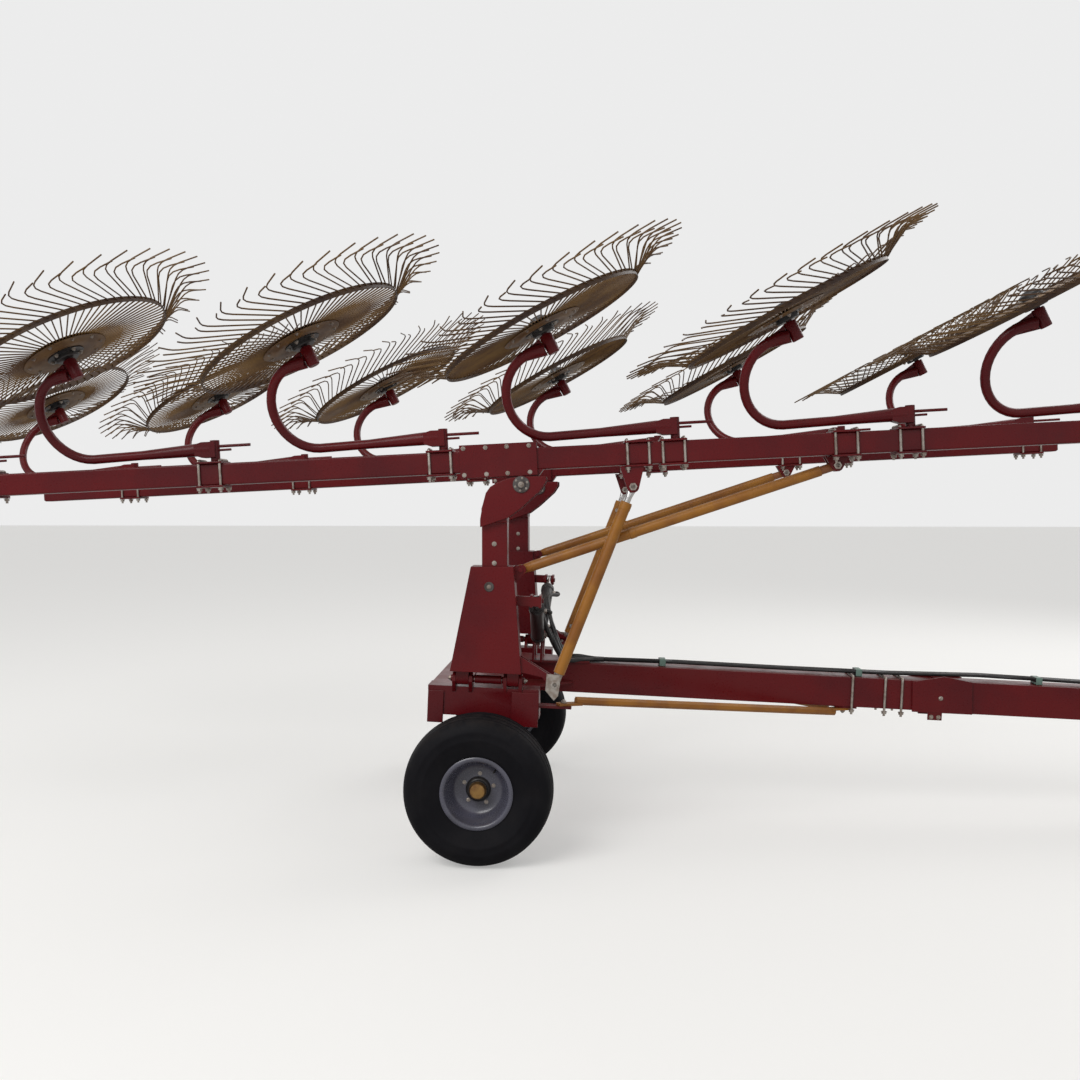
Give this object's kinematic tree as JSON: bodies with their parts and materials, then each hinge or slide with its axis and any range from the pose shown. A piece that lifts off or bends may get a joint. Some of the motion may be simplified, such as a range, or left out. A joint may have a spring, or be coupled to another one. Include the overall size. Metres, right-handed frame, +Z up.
{
  "type": "carted V wheel rake",
  "caption": "Towed V wheel rake folded for transport: two pitched beams carry rows of tined rake wheels over a frame with drawbar, towers, struts, cylinders, jack and tyres.",
  "frame": {"origin": "middle of the footprint on the ground", "axes": "+X forward to the tow eye, +Y to the left of the machine, +Z up"},
  "size_m": [7.8501, 3.4564, 2.9053],
  "materials": {
    "crimson_paint": "satin, dusty",
    "ochre_paint": "satin, worn",
    "golden_spring_steel": "satin",
    "tyre_rubber": "matt",
    "grey_paint": "satin",
    "black_paint": "satin",
    "bright_rod": "polished",
    "hose_rubber": "matt"
  },
  "bodies": {
    "frame": {"main_frame": "crimson_paint", "drawbar": "crimson_paint", "drawbar_nose": "crimson_paint", "tow_eye": "black_paint", "jack_outer": "crimson_paint", "right_diagonal_stay": "ochre_paint", "left_diagonal_stay": "ochre_paint", "hydraulic_hoses": "hose_rubber"},
    "jack_leg": {"jack_leg": "bright_rod"},
    "right_tower": {"right_tower_pedestal": "crimson_paint", "right_tower_post": "crimson_paint"},
    "right_beam": {"right_rake_beam": "crimson_paint", "right_wheel_arm_1": "crimson_paint", "right_wheel_arm_2": "crimson_paint", "right_wheel_arm_3": "crimson_paint", "right_wheel_arm_4": "crimson_paint", "right_wheel_arm_5": "crimson_paint", "right_wheel_arm_6": "crimson_paint"},
    "right_rake_wheel_1": {"right_rake_wheel_1": "golden_spring_steel"},
    "right_rake_wheel_2": {"right_rake_wheel_2": "golden_spring_steel"},
    "right_rake_wheel_3": {"right_rake_wheel_3": "golden_spring_steel"},
    "right_rake_wheel_4": {"right_rake_wheel_4": "golden_spring_steel"},
    "right_rake_wheel_5": {"right_rake_wheel_5": "golden_spring_steel"},
    "right_rake_wheel_6": {"right_rake_wheel_6": "golden_spring_steel"},
    "right_width_strut_barrel": {"right_width_strut_barrel": "ochre_paint"},
    "right_width_strut_rod": {"right_width_strut_rod": "bright_rod"},
    "right_opening_cylinder_barrel": {"right_opening_cylinder_barrel": "ochre_paint"},
    "right_opening_cylinder_rod": {"right_opening_cylinder_rod": "bright_rod"},
    "right_fold_cylinder_barrel": {"right_fold_cylinder_barrel": "black_paint"},
    "right_fold_cylinder_rod": {"right_fold_cylinder_rod": "bright_rod"},
    "right_road_wheel": {"right_tyre": "tyre_rubber", "right_rim": "grey_paint"},
    "left_tower": {"left_tower_pedestal": "crimson_paint", "left_tower_post": "crimson_paint"},
    "left_beam": {"left_rake_beam": "crimson_paint", "left_wheel_arm_1": "crimson_paint", "left_wheel_arm_2": "crimson_paint", "left_wheel_arm_3": "crimson_paint", "left_wheel_arm_4": "crimson_paint", "left_wheel_arm_5": "crimson_paint", "left_wheel_arm_6": "crimson_paint"},
    "left_rake_wheel_1": {"left_rake_wheel_1": "golden_spring_steel"},
    "left_rake_wheel_2": {"left_rake_wheel_2": "golden_spring_steel"},
    "left_rake_wheel_3": {"left_rake_wheel_3": "golden_spring_steel"},
    "left_rake_wheel_4": {"left_rake_wheel_4": "golden_spring_steel"},
    "left_rake_wheel_5": {"left_rake_wheel_5": "golden_spring_steel"},
    "left_rake_wheel_6": {"left_rake_wheel_6": "golden_spring_steel"},
    "left_width_strut_barrel": {"left_width_strut_barrel": "ochre_paint"},
    "left_width_strut_rod": {"left_width_strut_rod": "bright_rod"},
    "left_opening_cylinder_barrel": {"left_opening_cylinder_barrel": "ochre_paint"},
    "left_opening_cylinder_rod": {"left_opening_cylinder_rod": "bright_rod"},
    "left_fold_cylinder_barrel": {"left_fold_cylinder_barrel": "black_paint"},
    "left_fold_cylinder_rod": {"left_fold_cylinder_rod": "bright_rod"},
    "left_road_wheel": {"left_tyre": "tyre_rubber", "left_rim": "grey_paint"}
  },
  "joints": [
    {"name": "right_fold", "type": "hinge", "parent": "frame", "child": "right_tower", "pos_m": [-0.28687, -0.73052, 0.8], "axis": [0.9988, 0.021, -0.0437], "range_deg": [0, 84]},
    {"name": "right_opening", "type": "hinge", "parent": "right_tower", "child": "right_beam", "pos_m": [-0.1669, -0.728, 1.6977], "axis": [0.021, -0.9998, 0], "range_deg": [0, 26]},
    {"name": "right_rake_wheel_1_spin", "type": "hinge", "parent": "right_beam", "child": "right_rake_wheel_1", "pos_m": [-3.23719, -0.99203, 2.22902], "axis": [-0.4686, -0.0098, 0.8834], "continuous": true},
    {"name": "right_rake_wheel_2_spin", "type": "hinge", "parent": "right_beam", "child": "right_rake_wheel_2", "pos_m": [-2.18125, -0.96985, 2.27976], "axis": [-0.4686, -0.0098, 0.8834], "continuous": true},
    {"name": "right_rake_wheel_3_spin", "type": "hinge", "parent": "right_beam", "child": "right_rake_wheel_3", "pos_m": [-1.1253, -0.94767, 2.33049], "axis": [-0.4686, -0.0098, 0.8834], "continuous": true},
    {"name": "right_rake_wheel_4_spin", "type": "hinge", "parent": "right_beam", "child": "right_rake_wheel_4", "pos_m": [-0.06935, -0.9255, 2.38123], "axis": [-0.4686, -0.0098, 0.8834], "continuous": true},
    {"name": "right_rake_wheel_5_spin", "type": "hinge", "parent": "right_beam", "child": "right_rake_wheel_5", "pos_m": [0.9866, -0.90332, 2.43196], "axis": [-0.4686, -0.0098, 0.8834], "continuous": true},
    {"name": "right_rake_wheel_6_spin", "type": "hinge", "parent": "right_beam", "child": "right_rake_wheel_6", "pos_m": [2.04255, -0.88114, 2.4827], "axis": [-0.4686, -0.0098, 0.8834], "continuous": true},
    {"name": "right_width_strut_barrel_pivot", "type": "hinge", "parent": "right_tower", "child": "right_width_strut_barrel", "pos_m": [-0.17553, -0.69817, 1.306], "axis": [0.021, -0.9998, 0], "range_deg": [0, 23.23]},
    {"name": "right_width_strut_rod_slide", "type": "slide", "parent": "right_width_strut_barrel", "child": "right_width_strut_rod", "axis": [0.9485, 0.0199, 0.316], "range_m": [0, 0.1542]},
    {"name": "right_opening_cylinder_barrel_pivot", "type": "hinge", "parent": "right_tower", "child": "right_opening_cylinder_barrel", "pos_m": [-0.0163, -0.75484, 0.788], "axis": [0.021, -0.9998, 0], "range_deg": [0, 6.65]},
    {"name": "right_opening_cylinder_rod_slide", "type": "slide", "parent": "right_opening_cylinder_barrel", "child": "right_opening_cylinder_rod", "axis": [0.3655, 0.0077, 0.9308], "range_m": [0, 0.199]},
    {"name": "right_fold_cylinder_barrel_pivot", "type": "hinge", "parent": "frame", "child": "right_fold_cylinder_barrel", "pos_m": [-0.13063, -0.0891, 0.8999], "axis": [0.9988, 0.021, -0.0437], "range_deg": [0, 24.78]},
    {"name": "right_fold_cylinder_rod_slide", "type": "slide", "parent": "right_fold_cylinder_barrel", "child": "right_fold_cylinder_rod", "axis": [0.0376, -0.9044, 0.4251], "range_m": [0, 0.3864]},
    {"name": "right_road_wheel_spin", "type": "hinge", "parent": "frame", "child": "right_road_wheel", "pos_m": [-0.3519, -0.8835, 0.337], "axis": [0, 1, 0], "continuous": true},
    {"name": "left_fold", "type": "hinge", "parent": "frame", "child": "left_tower", "pos_m": [-0.28687, 0.73052, 0.8], "axis": [-0.9988, 0.021, 0.0437], "range_deg": [0, 84]},
    {"name": "left_opening", "type": "hinge", "parent": "left_tower", "child": "left_beam", "pos_m": [-0.1669, 0.728, 1.6977], "axis": [-0.021, -0.9998, 0], "range_deg": [0, 26]},
    {"name": "left_rake_wheel_1_spin", "type": "hinge", "parent": "left_beam", "child": "left_rake_wheel_1", "pos_m": [-3.23719, 0.99203, 2.22902], "axis": [0.4686, -0.0098, -0.8834], "continuous": true},
    {"name": "left_rake_wheel_2_spin", "type": "hinge", "parent": "left_beam", "child": "left_rake_wheel_2", "pos_m": [-2.18125, 0.96985, 2.27976], "axis": [0.4686, -0.0098, -0.8834], "continuous": true},
    {"name": "left_rake_wheel_3_spin", "type": "hinge", "parent": "left_beam", "child": "left_rake_wheel_3", "pos_m": [-1.1253, 0.94767, 2.33049], "axis": [0.4686, -0.0098, -0.8834], "continuous": true},
    {"name": "left_rake_wheel_4_spin", "type": "hinge", "parent": "left_beam", "child": "left_rake_wheel_4", "pos_m": [-0.06935, 0.9255, 2.38123], "axis": [0.4686, -0.0098, -0.8834], "continuous": true},
    {"name": "left_rake_wheel_5_spin", "type": "hinge", "parent": "left_beam", "child": "left_rake_wheel_5", "pos_m": [0.9866, 0.90332, 2.43196], "axis": [0.4686, -0.0098, -0.8834], "continuous": true},
    {"name": "left_rake_wheel_6_spin", "type": "hinge", "parent": "left_beam", "child": "left_rake_wheel_6", "pos_m": [2.04255, 0.88114, 2.4827], "axis": [0.4686, -0.0098, -0.8834], "continuous": true},
    {"name": "left_width_strut_barrel_pivot", "type": "hinge", "parent": "left_tower", "child": "left_width_strut_barrel", "pos_m": [-0.17553, 0.69817, 1.306], "axis": [-0.021, -0.9998, 0], "range_deg": [0, 23.23]},
    {"name": "left_width_strut_rod_slide", "type": "slide", "parent": "left_width_strut_barrel", "child": "left_width_strut_rod", "axis": [0.9485, -0.0199, 0.316], "range_m": [0, 0.1542]},
    {"name": "left_opening_cylinder_barrel_pivot", "type": "hinge", "parent": "left_tower", "child": "left_opening_cylinder_barrel", "pos_m": [-0.0163, 0.75484, 0.788], "axis": [-0.021, -0.9998, 0], "range_deg": [0, 6.65]},
    {"name": "left_opening_cylinder_rod_slide", "type": "slide", "parent": "left_opening_cylinder_barrel", "child": "left_opening_cylinder_rod", "axis": [0.3655, -0.0077, 0.9308], "range_m": [0, 0.199]},
    {"name": "left_fold_cylinder_barrel_pivot", "type": "hinge", "parent": "frame", "child": "left_fold_cylinder_barrel", "pos_m": [-0.13063, 0.0891, 0.8999], "axis": [-0.9988, 0.021, 0.0437], "range_deg": [0, 24.78]},
    {"name": "left_fold_cylinder_rod_slide", "type": "slide", "parent": "left_fold_cylinder_barrel", "child": "left_fold_cylinder_rod", "axis": [0.0376, 0.9044, 0.4251], "range_m": [0, 0.3864]},
    {"name": "left_road_wheel_spin", "type": "hinge", "parent": "frame", "child": "left_road_wheel", "pos_m": [-0.3519, 0.8835, 0.337], "axis": [0, 1, 0], "continuous": true},
    {"name": "jack_slide", "type": "slide", "parent": "frame", "child": "jack_leg", "axis": [0, 0, 1], "range_m": [0, 0.3]}
  ],
  "couplings": [
    {"joint": "right_width_strut_barrel_pivot", "follows": "right_opening", "ratio": 0.87441},
    {"joint": "right_width_strut_rod_slide", "follows": "right_opening", "m_per_rad": 0.33322},
    {"joint": "right_opening_cylinder_barrel_pivot", "follows": "right_opening", "ratio": 0.23642},
    {"joint": "right_opening_cylinder_rod_slide", "follows": "right_opening", "m_per_rad": 0.43185},
    {"joint": "right_fold_cylinder_barrel_pivot", "follows": "right_fold", "ratio": 0.289},
    {"joint": "right_fold_cylinder_rod_slide", "follows": "right_fold", "m_per_rad": 0.26149},
    {"joint": "left_width_strut_barrel_pivot", "follows": "left_opening", "ratio": 0.87441},
    {"joint": "left_width_strut_rod_slide", "follows": "left_opening", "m_per_rad": 0.33322},
    {"joint": "left_opening_cylinder_barrel_pivot", "follows": "left_opening", "ratio": 0.23642},
    {"joint": "left_opening_cylinder_rod_slide", "follows": "left_opening", "m_per_rad": 0.43185},
    {"joint": "left_fold_cylinder_barrel_pivot", "follows": "left_fold", "ratio": 0.289},
    {"joint": "left_fold_cylinder_rod_slide", "follows": "left_fold", "m_per_rad": 0.26149}
  ]
}
